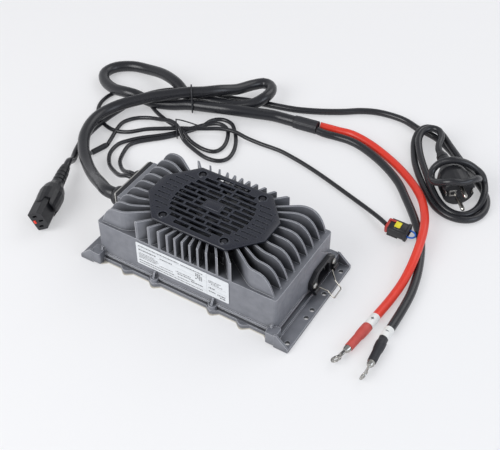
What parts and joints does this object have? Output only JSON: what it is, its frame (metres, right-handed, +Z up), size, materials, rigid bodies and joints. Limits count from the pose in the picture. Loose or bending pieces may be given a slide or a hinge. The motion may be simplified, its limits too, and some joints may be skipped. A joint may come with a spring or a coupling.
{
  "type": "forklift battery charger",
  "caption": "Sealed on-board battery charger: finned die-cast case with a fan grille, mains inlet, cable glands, battery leads with ring lugs and a detachable mains lead.",
  "frame": {"origin": "middle of the base cover's underside, on the floor the charger lies on", "axes": "+X along the case towards the mains inlet end, +Z up towards the fan grille, -Y towards the side with the rating label"},
  "size_m": [0.5315, 0.3963, 0.0801],
  "materials": {
    "cast_grey": "satin dark grey die-cast metal",
    "black_plastic": "fine-grained black moulding",
    "black_rubber": "matt black",
    "cable_black": "glossy black cable sheath",
    "cable_red": "glossy red cable sheath",
    "dull_red": "red heat-shrink tube",
    "tinned_metal": "bright plated metal",
    "sheet_aluminium": "brushed sheet",
    "white_label": "smooth film",
    "yellow_plastic": "smooth moulding",
    "green_board": "solder resist",
    "ferrite": "dark grey ceramic or epoxy",
    "copper_wire": "enamelled copper winding",
    "capacitor_sleeve": "shrunk film",
    "brass": "turned brass",
    "clear_lens": "clear moulded lens"
  },
  "bodies": {
    "case": {"housing": "cast_grey", "base_cover": "sheet_aluminium", "base_gasket": "black_rubber", "fan_grille": "black_plastic", "grille_screw_1": "tinned_metal", "grille_screw_2": "tinned_metal", "grille_screw_3": "tinned_metal", "grille_screw_4": "tinned_metal", "fan_frame": "black_plastic", "gland_seal": "black_rubber", "gland_plate": "sheet_aluminium", "output_gland": "black_plastic", "output_gland_nut": "black_plastic", "signal_gland": "black_plastic", "signal_gland_nut": "black_plastic", "inlet_gasket": "black_rubber", "inlet_body": "black_plastic", "earth_pin": "tinned_metal", "line_pin": "tinned_metal", "neutral_pin": "tinned_metal", "near_inlet_screw": "tinned_metal", "far_inlet_screw": "tinned_metal", "near_bail_sleeve": "black_plastic", "far_bail_sleeve": "black_plastic", "main_board": "green_board", "transformer_winding": "copper_wire", "transformer_core": "ferrite", "power_choke": "copper_wire", "bulk_capacitor_1": "capacitor_sleeve", "bulk_capacitor_2": "capacitor_sleeve", "bridge_rectifier": "ferrite", "power_module": "ferrite", "output_terminals": "brass", "rating_label": "white_label", "output_cable": "cable_black", "splitter_sleeve": "black_rubber", "positive_lead": "cable_red", "negative_lead": "cable_black", "positive_boot": "dull_red", "negative_boot": "black_rubber", "positive_lug": "tinned_metal", "negative_lug": "tinned_metal", "output_tie": "black_rubber", "signal_cable": "cable_black", "lamp_cable": "cable_black", "signal_hank": "cable_black", "lamp_lead": "cable_black", "lamp_sleeve": "black_rubber", "lamp_lens": "clear_lens", "signal_lead": "cable_black", "connector_housing": "black_plastic", "connector_lock": "yellow_plastic", "mains_cord": "cable_black", "mains_hank": "cable_black", "mains_connector": "black_plastic", "mains_plug": "black_plastic", "plug_pin_1": "tinned_metal", "plug_pin_2": "tinned_metal"},
    "rotor": {"fan_rotor": "black_plastic"},
    "bail": {"retaining_bail": "tinned_metal"}
  },
  "joints": [
    {"name": "fan_spin", "type": "hinge", "parent": "case", "child": "rotor", "pos_m": [0, 0, 0.0695], "axis": [0, 0, 1], "continuous": true},
    {"name": "bail_swing", "type": "hinge", "parent": "case", "child": "bail", "pos_m": [0.115, 0.0289, 0.0129], "axis": [0, -1, 0], "range_deg": [0, 105]}
  ]
}
